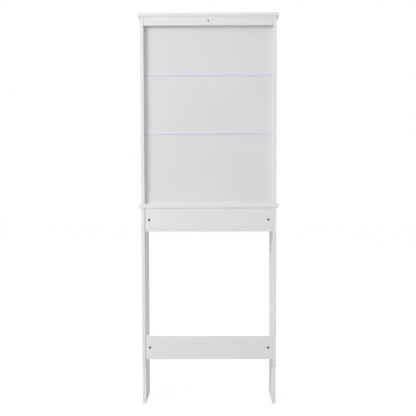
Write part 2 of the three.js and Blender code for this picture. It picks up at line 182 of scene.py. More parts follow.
def add_loft(bm, outlines, axis, places):
    """A closed solid between two outlines across an axis. Its faces are the ends, then the sides."""
    rings = []
    for outline, along in zip(outlines, places):
        rings.append([bm.verts.new(place(point, along, axis)) for point in outline])
    faces = [bm.faces.new(ring) for ring in rings]
    count = len(rings[0])
    for i in range(count):
        j = (i + 1) % count
        faces.append(bm.faces.new((rings[0][i], rings[0][j], rings[1][j], rings[1][i])))
    bmesh.ops.recalc_face_normals(bm, faces=faces)
    return faces


def add_prism(bm, outline, axis, low, high):
    """A closed solid of one outline across an axis, with its faces in the loft's order."""
    return add_loft(bm, (outline, outline), axis, (low, high))


def add_box(bm, low, high):
    outline = [(low[0], low[1]), (high[0], low[1]), (high[0], high[1]), (low[0], high[1])]
    add_prism(bm, outline, "z", low[2], high[2])


def add_turned(bm, profile, matrix=Matrix()):
    """A closed solid of revolution about Z from (radius, z) points that start and end on the axis."""
    rings = []
    for radius, z in profile:
        if radius == 0:
            rings.append([bm.verts.new(matrix @ Vector((0, 0, z)))])
            continue
        angles = [math.tau * i / ROUND_SIDES for i in range(ROUND_SIDES)]
        points = [Vector((radius * math.cos(a), radius * math.sin(a), z)) for a in angles]
        rings.append([bm.verts.new(matrix @ point) for point in points])
    faces = []
    for lower, upper in zip(rings, rings[1:]):
        for i in range(ROUND_SIDES):
            j = (i + 1) % ROUND_SIDES
            near = [lower[i % len(lower)], lower[j % len(lower)]]
            far = [upper[j % len(upper)], upper[i % len(upper)]]
            faces.append(bm.faces.new(list(dict.fromkeys(near + far))))
    bmesh.ops.recalc_face_normals(bm, faces=faces)


def add_hole(bm, mouth, direction, radius, depth, flare=HOLE_FLARE):
    """A round cutter from just outside a hole's mouth, which is flared a little, to its bottom."""
    profile = [
        (0, -OVERCUT),
        (radius + flare, -OVERCUT),
        (radius + flare, 0),
        (radius, flare),
        (radius, depth),
        (0, depth),
    ]
    turn = Z.rotation_difference(direction).to_matrix().to_4x4()
    add_turned(bm, profile, Matrix.Translation(mouth) @ turn)


def make_object(name, bm, materials):
    """An object with a bmesh's shape, which uses the bmesh up."""
    mesh = bpy.data.meshes.new(name)
    bm.to_mesh(mesh)
    bm.free()
    for material in materials:
        mesh.materials.append(material)
    obj = bpy.data.objects.new(name, mesh)
    bpy.context.scene.collection.objects.link(obj)
    return obj


def carve(obj, cutters, cut_material):
    """Takes the cutters' volume out of a piece, whose new faces get the cut material."""
    tool = make_object(obj.name + "_cutters", cutters, [cut_material])
    modifier = obj.modifiers.new("holes", "BOOLEAN")
    modifier.operation = "DIFFERENCE"
    modifier.solver = "EXACT"
    modifier.use_self = True
    modifier.material_mode = "TRANSFER"
    modifier.object = tool
    graph = bpy.context.evaluated_depsgraph_get()
    carved = bpy.data.meshes.new_from_object(obj.evaluated_get(graph))
    obj.modifiers.clear()
    obj.data = carved
    bpy.data.objects.remove(tool)


def finish_piece(obj, node):
    """Shades rounds smooth and faces flat, and lets the piece stand for its CAD node."""
    obj.data.shade_smooth()
    obj.data.set_sharp_from_angle(angle=SHARP_ANGLE)
    normals = obj.modifiers.new("flat_faces", "WEIGHTED_NORMAL")
    normals.keep_sharp = True
    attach(obj, "root")
    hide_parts(node)


# ---------------------------------------------------------------- materials


class Surface:
    """A Principled material and short names for the nodes that drive it."""

    def __init__(self, name, roughness=0.5, metallic=0.0, **constants):
        self.material = bpy.data.materials.new(name)
        self.material.use_nodes = True
        self.tree = self.material.node_tree
        self.shader = self.tree.nodes["Principled BSDF"]
        self.shader.inputs["Roughness"].default_value = roughness
        self.shader.inputs["Metallic"].default_value = metallic
        for socket, value in constants.items():
            self.shader.inputs[socket.replace("_", " ")].default_value = value
        self.coordinates = self.tree.nodes.new("ShaderNodeTexCoord").outputs["Object"]

    def link(self, output, target):
        self.tree.links.new(output, target)

    def stretched(self, scale):
        """The object's coordinates, scaled differently along each axis."""
        mapping = self.tree.nodes.new("ShaderNodeMapping")
        mapping.inputs["Scale"].default_value = scale
        self.link(self.coordinates, mapping.inputs["Vector"])
        return mapping.outputs["Vector"]

    def noise(self, scale, detail=2.0, roughness=0.5, vector=None):
        node = self.tree.nodes.new("ShaderNodeTexNoise")
        node.inputs["Scale"].default_value = scale
        node.inputs["Detail"].default_value = detail
        node.inputs["Roughness"].default_value = roughness
        self.link(vector or self.coordinates, node.inputs["Vector"])
        return node.outputs["Fac"]

    def cells(self, scale, output="Distance"):
        node = self.tree.nodes.new("ShaderNodeTexVoronoi")
        node.inputs["Scale"].default_value = scale
        self.link(self.coordinates, node.inputs["Vector"])
        return node.outputs[output]

    def ramp(self, factor, stops):
        """A colour ramp from (place, grey or colour) stops."""
        node = self.tree.nodes.new("ShaderNodeValToRGB")
        elements = node.color_ramp.elements
        while len(elements) < len(stops):
            elements.new(0.5)
        for element, (position, colour) in zip(elements, stops):
            element.position = position
            rgb = (colour,) * 3 if isinstance(colour, (int, float)) else colour
            element.color = (*rgb, 1.0)
        self.link(factor, node.inputs["Fac"])
        return node.outputs["Color"]

    def mix(self, factor, a, b, blend="MIX"):
        """Two colours mixed by a factor; each is a socket or a plain colour."""
        node = self.tree.nodes.new("ShaderNodeMix")
        node.data_type = "RGBA"
        node.blend_type = blend
        sockets = {s.name: s for s in node.inputs if s.type == "RGBA"}
        for socket, value in (("A", a), ("B", b)):
            if isinstance(value, bpy.types.NodeSocket):
                self.link(value, sockets[socket])
            else:
                sockets[socket].default_value = (*value, 1.0)
        if isinstance(factor, bpy.types.NodeSocket):
            self.link(factor, node.inputs[0])
        else:
            node.inputs[0].default_value = factor
        return next(s for s in node.outputs if s.type == "RGBA")

    def spread(self, factor, low, high):
        """A 0 to 1 value stretched to run from low to high."""
        node = self.tree.nodes.new("ShaderNodeMapRange")
        node.inputs["To Min"].default_value = low
        node.inputs["To Max"].default_value = high
        self.link(factor, node.inputs["Value"])
        return node.outputs["Result"]

    def colour(self, socket):
        self.link(socket, self.shader.inputs["Base Color"])

    def roughness(self, socket):
        self.link(socket, self.shader.inputs["Roughness"])

    def bumps(self, *layers):
        """Relief from (height, strength, depth in metres) layers, one on the other."""
        normal = None
        for height, strength, depth in layers:
            node = self.tree.nodes.new("ShaderNodeBump")
            node.inputs["Strength"].default_value = strength
            node.inputs["Distance"].default_value = depth
            self.link(height, node.inputs["Height"])
            if normal:
                self.link(normal, node.inputs["Normal"])
            normal = node.outputs["Normal"]
        self.link(normal, self.shader.inputs["Normal"])


def shades(tone, depth):
    """Ramp stops from a slightly darker tone to the tone itself."""
    return [(0.3, [depth * c for c in tone]), (0.7, tone)]


def laminate_material():
    """White melamine facing: a fine pearl texture, clouds of tone and a few pale specks."""
    surface = Surface("white_melamine", roughness=0.5, Specular_IOR_Level=0.45)
    colour = surface.ramp(surface.noise(5, detail=3), shades((0.83, 0.83, 0.838), 0.975))
    specks = surface.ramp(surface.noise(1400, detail=1), [(0.62, 1.0), (0.72, 0.95)])
    surface.colour(surface.mix(0.35, colour, specks, "MULTIPLY"))
    surface.roughness(surface.spread(surface.noise(60, detail=4), 0.42, 0.58))
    pearl = surface.noise(1800, detail=2, roughness=0.6)
    waves = surface.noise(22, detail=1)
    surface.bumps((waves, 0.25, 0.25 * MM), (pearl, 0.35, 0.04 * MM))
    return surface.material


def banding_material():
    """Plastic edge banding: a little smoother than the facing, with faint scraper marks along the edge."""
    surface = Surface("white_edge_banding", roughness=0.4, Specular_IOR_Level=0.5)
    surface.colour(surface.ramp(surface.noise(9), shades((0.845, 0.845, 0.85), 0.97)))
    scraped = surface.noise(1, detail=3, vector=surface.stretched((180, 900, 180)))
    surface.roughness(surface.spread(scraped, 0.34, 0.5))
    surface.bumps((scraped, 0.2, 0.03 * MM))
    return surface.material


def chipboard_material(name, browns):
    """Raw particle board: pressed chips and dust of several browns, given as ramp stops."""
    surface = Surface(name, roughness=0.9, Specular_IOR_Level=0.2)
    chips = surface.ramp(surface.cells(650, output="Color"), browns)
    dust = surface.ramp(surface.noise(300, detail=4), browns)
    surface.colour(surface.mix(0.45, chips, dust))
    surface.bumps((surface.cells(650), 0.8, 0.3 * MM))
    return surface.material


def hardboard_material():
    """The back panels' printed white face: thin roller lines, soft clouds and a slightly pebbled skin."""
    surface = Surface("white_hardboard_face", roughness=0.6, Specular_IOR_Level=0.35)
    clouds = surface.noise(4, detail=3, roughness=0.55)
    colour = surface.ramp(clouds, shades((0.784, 0.784, 0.794), 0.965))
    roller = surface.noise(1, detail=3, vector=surface.stretched((420, 60, 9)))
    lines = surface.ramp(roller, [(0.35, 0.965), (0.65, 1.0)])
    surface.colour(surface.mix(0.6, colour, lines, "MULTIPLY"))
    surface.roughness(surface.spread(roller, 0.5, 0.68))
    skin = surface.noise(900, detail=3, roughness=0.6)
    bow = surface.noise(7, detail=1)
    surface.bumps((bow, 0.5, 0.8 * MM), (skin, 0.4, 0.05 * MM))
    return surface.material


def strip_material():
    """Extruded plastic with a violet cast: glossy, a little milky, with die lines along its length."""
    surface = Surface("joining_strip_plastic", roughness=0.28, Specular_IOR_Level=0.5, IOR=1.49)
    surface.shader.inputs["Subsurface Weight"].default_value = 0.15
    surface.shader.inputs["Subsurface Radius"].default_value = (0.002, 0.002, 0.004)
    clouds = surface.noise(12, vector=surface.stretched((0.3, 1, 1)))
    surface.colour(surface.ramp(clouds, shades((0.775, 0.757, 0.85), 0.96)))
    die_lines = surface.noise(1, vector=surface.stretched((3, 2500, 2500)))
    surface.roughness(surface.spread(die_lines, 0.22, 0.36))
    surface.bumps((die_lines, 0.3, 0.04 * MM))
    return surface.material


def cast_zinc_material():
    """Die-cast zinc: dull, grainy, darker in patches."""
    surface = Surface("cam_zinc_cast", roughness=0.45, metallic=1.0)
    patches = surface.noise(420, detail=4)
    surface.colour(surface.ramp(patches, [(0.25, (0.115, 0.115, 0.12)), (0.75, (0.235, 0.235, 0.245))]))
    surface.roughness(surface.spread(surface.noise(1500, detail=3), 0.38, 0.6))
    surface.bumps((surface.noise(2200), 0.5, 0.06 * MM))
    return surface.material


def plated_material(name, dark, light, roughness):
    """Plated steel, with a slightly uneven tint and fine turning marks."""
    surface = Surface(name, roughness=roughness, metallic=1.0)
    surface.colour(surface.ramp(surface.noise(160, detail=3), [(0.3, dark), (0.7, light)]))
    turning = surface.noise(2600)
    surface.roughness(surface.spread(turning, roughness * 0.8, roughness * 1.4))
    surface.bumps((turning, 0.3, 0.03 * MM))
    return surface.material


def beech_material():
    """Beech dowels, with the grain along X and short dark flecks."""
    surface = Surface("dowel_beech_wood", roughness=0.75, Specular_IOR_Level=0.3)
    grain = surface.noise(1, detail=5, roughness=0.6, vector=surface.stretched((40, 900, 900)))
    tan = surface.ramp(grain, [(0.3, (0.40, 0.24, 0.12)), (0.7, (0.62, 0.42, 0.25))])
    flecks = surface.noise(1, detail=1, vector=surface.stretched((260, 2600, 2600)))
    flecked = surface.ramp(flecks, [(0.62, 0.0), (0.7, 0.5)])
    surface.colour(surface.mix(flecked, tan, (0.28, 0.15, 0.07)))
    surface.bumps((grain, 0.5, 0.1 * MM))
    return surface.material


LAMINATE = laminate_material()
BANDING = banding_material()
CHIPBOARD = chipboard_material(
    "raw_particle_board",
    [(0.0, (0.19, 0.12, 0.06)), (0.45, (0.36, 0.25, 0.14)), (1.0, (0.55, 0.42, 0.26))],
)
PAINTED_SHADE_BORE = chipboard_material(  # painted shade: the strap hole's wall in near-black browns, standing for the shade inside the hole
    "bore_painted_shade",
    [(0.0, (0.012, 0.01, 0.009)), (0.45, (0.035, 0.03, 0.027)), (1.0, (0.08, 0.07, 0.06))],
)
HARDBOARD = hardboard_material()
STRIP = strip_material()
ZINC = cast_zinc_material()
NICKEL = plated_material("shelf_pin_nickel", (0.55, 0.54, 0.51), (0.72, 0.71, 0.68), 0.22)
STEEL = plated_material("bolt_zinc_plating", (0.50, 0.48, 0.40), (0.68, 0.67, 0.62), 0.3)
BEECH = beech_material()
BOARD_SLOTS = [LAMINATE, BANDING, CHIPBOARD, PAINTED_SHADE_BORE]


# ---------------------------------------------------------------- boards


def rectangle(node, axis):
    """Corners of a node's box across an axis, anticlockwise from the lowest, for edges 0 to 3."""
    low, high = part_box(node)
    u, v = PLANE[axis]
    return [(low[u], low[v]), (high[u], low[v]), (high[u], high[v]), (low[u], high[v])]


def edge_vector(outline, i):
    """Direction of edge i of an outline, which starts at point i."""
    return (Vector(outline[(i + 1) % len(outline)]) - Vector(outline[i])).normalized()


def inset(outline, depths):
    """An anticlockwise right-angled outline with each edge moved inwards by its own depth."""
    moves = []
    for i, depth in enumerate(depths):
        along = edge_vector(outline, i)
        moves.append(Vector((-along.y, along.x)) * depth)
    return [Vector(point) + moves[i - 1] + moves[i] for i, point in enumerate(outline)]


def banded_runs(count, raw_edges):
    """Neighbouring banded edges round an outline, as lists of edge numbers."""
    if not raw_edges:
        return [list(range(count))]
    first = min(raw_edges)
    runs = [[]]
    for step in range(1, count + 1):
        edge = (first + step) % count
        if edge not in raw_edges:
            runs[-1].append(edge)
        elif runs[-1]:
            runs.append([])
    return [run for run in runs if run]


def add_band(bm, outline, run, thickness, ease, axis, low, high):
    """Banding along a run of edges: a strip bent round the corners, with its outer rims rounded."""
    count = len(outline)
    closed = len(run) == count
    backs = inset(outline, [thickness if i in run else 0.0 for i in range(count)])
    stations = run if closed else run + [(run[-1] + 1) % count]
    sections = []
    for i in stations:
        corners = ((outline[i], low), (outline[i], high), (backs[i], high), (backs[i], low))
        sections.append([bm.verts.new(place(point, along, axis)) for point, along in corners])
    stretches = list(zip(sections, sections[1:]))
    if closed:
        stretches.append((sections[-1], sections[0]))
    faces = []
    for here, there in stretches:
        for corner in range(4):
            after = (corner + 1) % 4
            faces.append(bm.faces.new((here[corner], here[after], there[after], there[corner])))
    if not closed:
        faces.append(bm.faces.new(sections[0]))
        faces.append(bm.faces.new(sections[-1]))
    for face in faces:
        face.material_index = BOARD_SLOTS.index(BANDING)
    bmesh.ops.recalc_face_normals(bm, faces=faces)

    rims = []
    for here, there in stretches:
        rims += [bm.edges.get((here[corner], there[corner])) for corner in (0, 1)]
    for i, section in zip(stations, sections):
        turns_out = edge_vector(outline, i - 1).cross(edge_vector(outline, i)) > 0
        if (i - 1) % count in run and i in run and turns_out:
            rims.append(bm.edges.get((section[0], section[1])))
    bmesh.ops.bevel(
        bm,
        geom=rims,
        offset=ease,
        offset_type="OFFSET",
        segments=EASE_STEPS,
        profile=0.5,
        affect="EDGES",
        clamp_overlap=True,
    )


def pour(source, target):
    """Moves everything from one bmesh into another."""
    spare = bpy.data.meshes.new("spare")
    source.to_mesh(spare)
    source.free()
    target.from_mesh(spare)
    bpy.data.meshes.remove(spare)


def make_board(
    node, axis, cutters=None, raw_edges=None, outline=None, band=THIN_BAND, ease=THIN_EASE, bore=CHIPBOARD
):
    """A particle board that replaces a CAD board: a faced core with its holes, and banding on its edges.

    The outline runs anticlockwise across the board's thickness axis. Raw edges have no banding; each is
    given by its number with the gap that it keeps to the board beside it. Holes have the bore's material.
    """
    raw_edges = raw_edges or {}
    outline = outline or rectangle(node, axis)
    low, high = (corner[INDEX[axis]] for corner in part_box(node))
    count = len(outline)
    outline = inset(outline, [raw_edges.get(i, 0.0) for i in range(count)])
    core_outline = inset(outline, [0.0 if i in raw_edges else band + BAND_SEAM for i in range(count)])

    core = bmesh.new()
    sides = add_prism(core, core_outline, axis, low, high)[2:]
    for i in raw_edges:
        sides[i].material_index = BOARD_SLOTS.index(CHIPBOARD)
    obj = make_object(node + "_board", core, BOARD_SLOTS)
    if cutters:
        carve(obj, cutters, bore)

    whole = bmesh.new()
    whole.from_mesh(obj.data)
    for run in banded_runs(count, raw_edges):
        strip = bmesh.new()
        add_band(strip, outline, run, band, ease, axis, low, high)
        pour(strip, whole)
    whole.to_mesh(obj.data)
    whole.free()
    finish_piece(obj, node)


def make_slab(node, bolt, hole_radius, hole_depth, groove_bottom, groove_top):
    """The top board or the deck, with a stopped groove for the back panels and its bolts' holes."""
    front, rear = back_groove_span()
    half_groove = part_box("back_panel_middle")[1].x + 2 * GROOVE_CLEARANCE
    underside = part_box(node)[0].z
    cutters = bmesh.new()
    add_box(cutters, (-half_groove, front, groove_bottom), (half_groove, rear, groove_top))
    for hand in HANDS:
        for row in ROWS:
            centre = middle(f"{bolt}_{hand}_{row}")
            add_hole(cutters, (centre.x, centre.y, underside), Z, hole_radius, hole_depth)
    make_board(node, "z", cutters, band=THICK_BAND, ease=THICK_EASE)


def make_top_board():
    groove_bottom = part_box("top_board")[0].z - OVERCUT
    groove_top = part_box("back_panel_top")[1].z + 2 * GROOVE_CLEARANCE
    make_slab("top_board", "top_bolt", PILOT_RADIUS, PILOT_DEPTH, groove_bottom, groove_top)


def make_deck():
    deck_low, deck_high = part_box("deck_board")
    groove_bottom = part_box("back_panel_bottom")[0].z - 2 * GROOVE_CLEARANCE
    through = deck_high.z - deck_low.z + OVERCUT
    make_slab("deck_board", "deck_bolt", BOLT_HOLE_RADIUS, through, groove_bottom, deck_high.z + OVERCUT)


def add_cam_bore(bm, cam, hand, end_z):
    """A cam lock's bore in a panel's inner face, and its bolt's hole from the panel's end."""
    centre = middle(cam)
    panel = middle(f"side_panel_{hand}")
    add_hole(bm, (inner_face(hand), centre.y, centre.z), -inward(hand), CAM_BORE_RADIUS, CAM_BORE_DEPTH)
    from_end = Z if centre.z > end_z else -Z
    add_hole(bm, (panel.x, centre.y, end_z), from_end, BOLT_HOLE_RADIUS, abs(centre.z - end_z))


def add_panel_dowel_hole(bm, dowel, hand):
    """The part of a dowel's hole that is in a side or leg panel."""
    centre = middle(dowel)
    low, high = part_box(dowel)
    outer_end = low.x if hand == "left" else high.x
    depth = abs(outer_end - inner_face(hand)) + DOWEL_HOLE_SPARE
    add_hole(bm, (inner_face(hand), centre.y, centre.z), -inward(hand), DOWEL_HOLE_RADIUS, depth)


def add_rail_dowel_hole(bm, dowel, hand):
    """The part of a dowel's hole that is in a rail's end."""
    centre = middle(dowel)
    low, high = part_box(dowel)
    inner_end = high.x if hand == "left" else low.x
    depth = abs(inner_end - inner_face(hand)) + DOWEL_HOLE_SPARE
    add_hole(bm, (inner_face(hand), centre.y, centre.z), inward(hand), DOWEL_HOLE_RADIUS, depth)


def make_side_panel(hand):
    """A side of the cabinet, with the back panels' groove and its holes for cams, dowel and shelf pins."""
    node = f"side_panel_{hand}"
    low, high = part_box(node)
    face = inner_face(hand)
    front, rear = back_groove_span()
    panel_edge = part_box("back_panel_middle")[0 if hand == "left" else 1].x
    groove_x = panel_edge - inward(hand).x * 2 * GROOVE_CLEARANCE
    open_x = face + inward(hand).x * OVERCUT
    groove_low = (min(groove_x, open_x), front, low.z - OVERCUT)
    groove_high = (max(groove_x, open_x), rear, high.z + OVERCUT)
    cutters = bmesh.new()
    add_box(cutters, groove_low, groove_high)
    add_panel_dowel_hole(cutters, f"top_rail_dowel_{hand}", hand)
    for row in ROWS:
        add_cam_bore(cutters, f"side_top_cam_{hand}_{row}", hand, high.z)
        add_cam_bore(cutters, f"side_foot_cam_{hand}_{row}", hand, low.z)
        for shelf in SHELVES:
            pin_low, pin_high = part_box(f"{shelf}_shelf_pin_{hand}_{row}")
            pin_y = (pin_low.y + pin_high.y) / 2
            pin_z = pin_low.z + PIN_COLLAR_RADIUS
            for step in (-PIN_PITCH, 0, PIN_PITCH):
                mouth = (face, pin_y, pin_z + step)
                add_hole(cutters, mouth, -inward(hand), PIN_HOLE_RADIUS, PIN_HOLE_DEPTH)
    make_board(node, "x", cutters, raw_edges={BOTTOM_EDGE: JOINT_GAP, TOP_EDGE: JOINT_GAP})


def make_leg_panel(hand):
    """A leg with its skirting notch, whose inner corner is read from the CAD mesh."""
    node = f"leg_panel_{hand}"
    low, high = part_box(node)
    points = [v.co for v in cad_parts[node].data.vertices]
    foot_rear = max(p.y for p in points if p.z < low.z + MM)
    notch_top = min(p.z for p in points if p.y > high.y - MM)
    outline = [
        (low.y, low.z),
        (foot_rear, low.z),
        (foot_rear, notch_top),
        (high.y, notch_top),
        (high.y, high.z),
        (low.y, high.z),
    ]
    cutters = bmesh.new()
    for row in ROWS:
        add_cam_bore(cutters, f"leg_cam_{hand}_{row}", hand, high.z)
    for rail in ("apron", "stretcher"):
        bolt = middle(f"{rail}_bolt_{hand}")
        mouth = (inner_face(hand), bolt.y, bolt.z)
        add_hole(cutters, mouth, -inward(hand), PILOT_RADIUS, PILOT_DEPTH)
        add_panel_dowel_hole(cutters, f"{rail}_dowel_{hand}", hand)
    raw_edges = {BOTTOM_EDGE: 0.0, LEG_TOP_EDGE: JOINT_GAP}
    make_board(node, "x", cutters, raw_edges=raw_edges, outline=outline)


def make_leg_rail(rail, raw_edges):
    """The apron or the stretcher, with its cams' bores and the holes for bolts and dowels in its ends."""
    node = f"{rail}_rail"
    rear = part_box(node)[1].y
    cutters = bmesh.new()
    for hand in HANDS:
        cam = middle(f"{rail}_cam_{hand}")
        bolt = middle(f"{rail}_bolt_{hand}")
        setback = abs(cam.x - inner_face(hand))
        add_hole(cutters, (cam.x, rear, cam.z), -Y, CAM_BORE_RADIUS, CAM_BORE_DEPTH)
        add_hole(cutters, (inner_face(hand), bolt.y, bolt.z), inward(hand), BOLT_HOLE_RADIUS, setback)
        add_rail_dowel_hole(cutters, f"{rail}_dowel_{hand}", hand)
    make_board(node, "y", cutters, raw_edges=raw_edges)


def make_top_rail():
    """The rail under the top board, with the hole for the strap's screw."""
    centre = middle("top_rail")
    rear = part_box("top_rail")[1].y
    cutters = bmesh.new()
    mouth = (centre.x, rear, centre.z)
    add_hole(cutters, mouth, -Y, STRAP_HOLE_RADIUS, STRAP_HOLE_DEPTH, flare=STRAP_HOLE_FLARE)
    for hand in HANDS:
        add_rail_dowel_hole(cutters, f"top_rail_dowel_{hand}", hand)
    raw_edges = {RIGHT_END: RAIL_END_GAP, TOP_EDGE: JOINT_GAP, LEFT_END: RAIL_END_GAP}
    # The strap hole's wall gets the near-black painted shade material that stands for the shade inside the
    # hole.
    make_board("top_rail", "y", cutters, raw_edges=raw_edges, bore=PAINTED_SHADE_BORE)


# ---------------------------------------------------------------- fittings


def put(obj, position, along_x, along_z):
    """Bakes a place into a fitting's mesh, with its own X and Z turned to two directions."""
    along_y = along_z.cross(along_x)
    turn = Matrix((along_x, along_y, along_z)).transposed().to_4x4()
    obj.data.transform(Matrix.Translation(position) @ turn)


def turned_points(points, angle):
    """Flat points turned round the origin."""
    turn = Matrix.Rotation(angle, 2)
    return [turn @ Vector(point) for point in points]


def slot_outline(length, width):
    """A rectangle round the origin."""
    u, v = length / 2, width / 2
    return [(-u, -v), (u, -v), (u, v), (-u, v)]


def add_driver_cuts(cutters):
    """The tapered cross slot for a screwdriver, and the arrow that points towards the joint."""
    mouth = slot_outline(CROSS_LENGTH, CROSS_WIDTH)
    foot = slot_outline(CROSS_FOOT_LENGTH, CROSS_FOOT_WIDTH)
    for angle in (math.pi / 4, 3 * math.pi / 4):
        outlines = (turned_points(foot, angle), turned_points(mouth, angle))
        add_loft(cutters, outlines, "z", (-CROSS_DEPTH, OVERCUT))
    tail = ARROW_TIP - ARROW_LENGTH
    arrow = [(ARROW_TIP, 0), (tail, ARROW_LENGTH / 2), (tail, -ARROW_LENGTH / 2)]
    add_prism(cutters, arrow, "z", -ARROW_DEPTH - CAM_DISH, OVERCUT)


def add_bolt_cuts(cutters, bolt_depth):
    """The chamber for the bolt's head, its way in, and the slot that the bolt's neck turns through."""
    half_chamber = CHAMBER_HEIGHT / 2
    chamber = [
        (0, -bolt_depth - half_chamber),
        (CHAMBER_RADIUS, -bolt_depth - half_chamber),
        (CHAMBER_RADIUS, half_chamber - bolt_depth),
        (0, half_chamber - bolt_depth),
    ]
    add_turned(cutters, chamber)
    reach = 2 * CAM_RADIUS
    add_hole(cutters, (0, 0, -bolt_depth), Y, half_chamber, reach, flare=0)
    sector = [(0, 0)]
    for step in range(NECK_SLOT_STEPS + 1):
        angle = NECK_SLOT_START + NECK_SLOT_TURN * step / NECK_SLOT_STEPS
        sector.append((reach * math.cos(angle), reach * math.sin(angle)))
    half_slot = NECK_SLOT_HEIGHT / 2
    add_prism(cutters, sector, "z", -bolt_depth - half_slot, half_slot - bolt_depth)


def make_cam_lock(node, outward, toward_joint, face, bolt_depth):
    """A cam lock: a cast drum with a raised rim, a cross slot and the pocket for its bolt's head.

    `face` is the middle of the drum's outer end and `bolt_depth` is how far below it the bolt comes in.
    """
    low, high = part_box(node)
    height = abs((high - low).dot(outward))
    drum = bmesh.new()
    profile = [
        (0, -height),
        (CAM_RADIUS - CAM_RIM, -height),
        (CAM_RADIUS, CAM_RIM - height),
        (CAM_RADIUS, -CAM_RIM),
        (CAM_RADIUS - CAM_RIM, 0),
        (CAM_RADIUS - 2 * CAM_RIM, 0),
        (CAM_RADIUS - 2 * CAM_RIM - CAM_DISH, -CAM_DISH),
        (0, -CAM_DISH),
    ]
    add_turned(drum, profile)
    obj = make_object(node + "_lock", drum, [ZINC])
    cutters = bmesh.new()
    add_driver_cuts(cutters)
    add_bolt_cuts(cutters, bolt_depth)
    carve(obj, cutters, ZINC)
    put(obj, face, toward_joint, outward)
    finish_piece(obj, node)


def make_panel_cam(node, hand, toward_joint):
    """A cam lock in a side or leg panel, facing into the rack."""
    low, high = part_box(node)
    centre = (low + high) / 2
    face_x = high.x if hand == "left" else low.x
    panel_x = middle(f"side_panel_{hand}").x
    face = Vector((face_x, centre.y, centre.z))
    make_cam_lock(node, inward(hand), toward_joint, face, abs(face_x - panel_x))


def make_rail_cam(rail, hand):
    """A cam lock in a rail's rear face."""
    node = f"{rail}_cam_{hand}"
    centre = middle(node)
    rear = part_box(node)[1].y
    bolt_depth = rear - middle(f"{rail}_rail").y
    make_cam_lock(node, Y, -inward(hand), Vector((centre.x, rear, centre.z)), bolt_depth)


def make_shelf_pin(node, hand):
    """A turned pin with a collar and a flat on top, on which the shelf lies."""
    low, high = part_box(node)
    axis_z = low.z + PIN_COLLAR_RADIUS
    face = inner_face(hand)
    inside, outside = (low.x, high.x) if hand == "left" else (high.x, low.x)
    depth, reach = abs(face - inside), abs(outside - face)
    tip_ease, collar_ease, peg_ease = 2 * PIN_EASE, PIN_EASE / 2, 1.5 * PIN_EASE
    profile = [
        (0, -depth),
        (PIN_RADIUS - tip_ease, -depth),
        (PIN_RADIUS, tip_ease - depth),
        (PIN_RADIUS, 0),
        (PIN_COLLAR_RADIUS - collar_ease, 0),
        (PIN_COLLAR_RADIUS, collar_ease),
        (PIN_COLLAR_RADIUS, PIN_COLLAR - collar_ease),
        (PIN_COLLAR_RADIUS - collar_ease, PIN_COLLAR),
        (PIN_PEG_RADIUS, PIN_COLLAR),
        (PIN_PEG_RADIUS, reach - peg_ease),
        (PIN_PEG_RADIUS - peg_ease, reach),
        (0, reach),
    ]
    pin = bmesh.new()
    add_turned(pin, profile)
    obj = make_object(node + "_turned", pin, [NICKEL])
    cutters = bmesh.new()
    wide = 2 * PIN_COLLAR_RADIUS
    add_box(cutters, (-wide, PIN_SEAT, PIN_COLLAR), (wide, wide, reach + OVERCUT))
    carve(obj, cutters, NICKEL)
    put(obj, Vector((face, (low.y + high.y) / 2, axis_z)), Z.cross(inward(hand)), inward(hand))
    finish_piece(obj, node)


def strip_wall(base_y, crest_y, centre_z, half_height):
    """One domed wall of a joining strip, from its lower lip to its upper lip."""
    lip = math.copysign(STRIP_LIP, crest_y - base_y)
    dome = []
    for step in range(STRIP_STEPS + 1):
        up = -1 + 2 * step / STRIP_STEPS
        rise = (crest_y - base_y - lip) * (1 - up * up)
        dome.append((base_y + lip + rise, centre_z + half_height * up))
    return dome


def make_joining_strip(node):
    """The H strip between two back panels, with a domed wall on each side."""
    low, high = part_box(node)
    centre_z = (low.z + high.z) / 2
    half_height = (high.z - low.z) / 2
    groove_front, groove_rear = back_groove_span()
    web_low, web_high = centre_z - STRIP_WEB / 2, centre_z + STRIP_WEB / 2
    outline = [
        (groove_rear, low.z),
        *strip_wall(groove_rear, high.y, centre_z, half_height),
        (groove_rear, high.z),
        (groove_rear, web_high),
        (groove_front, web_high),
        (groove_front, high.z),
        *reversed(strip_wall(groove_front, low.y, centre_z, half_height)),
        (groove_front, low.z),
        (groove_front, web_low),
        (groove_rear, web_low),
    ]
    bm = bmesh.new()
    add_prism(bm, outline, "x", low.x, high.x)
    obj = make_object(node + "_profile", bm, [STRIP])
    finish_piece(obj, node)


def dress(node, material):
    """Gives a CAD piece its finish and eased edges, and leaves its mesh as it is."""
    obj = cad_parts[node]
    obj.data.materials.clear()
    obj.data.materials.append(material)
    weld = obj.modifiers.new("weld", "WELD")
    weld.merge_threshold = WELD_REACH
    bevel = obj.modifiers.new("eased_edges", "BEVEL")
    bevel.width = DRESSED_EASE
    bevel.segments = 2
    bevel.limit_method = "ANGLE"
    bevel.angle_limit = DRESSED_ANGLE


# ---------------------------------------------------------------- stage

FLOOR_REACH = 12
FLOOR_THICKNESS = 0.05
FLOOR_BOUNCE = 0.5  # how much light the floor sends back to the rack
FLOOR_SEEN = 0.12  # how grey the camera sees it, on top of its own glow
FLOOR_GLOW = 0.9

WORLD_BASE = 0.376  # the same from everywhere
WORLD_FROM_ABOVE = 0.578
WORLD_FROM_SIDE = 0.203

LIGHTS_AIM = (0, 0.1, 0.9)
LIGHTS = {  # place, size and power of each soft box
    "key_low": ((3.7, 2.7, 1.9), (2.0, 3.5), 56),
    "key_high": ((3.3, 2.4, 3.2), (2.0, 2.0), 57),
    "accent": ((2.9, 2.5, 2.7), (1.0, 1.0), 12.5),
    "front_fill": ((0.0, -3.4, 1.8), (1.2, 2.6), 26),
}

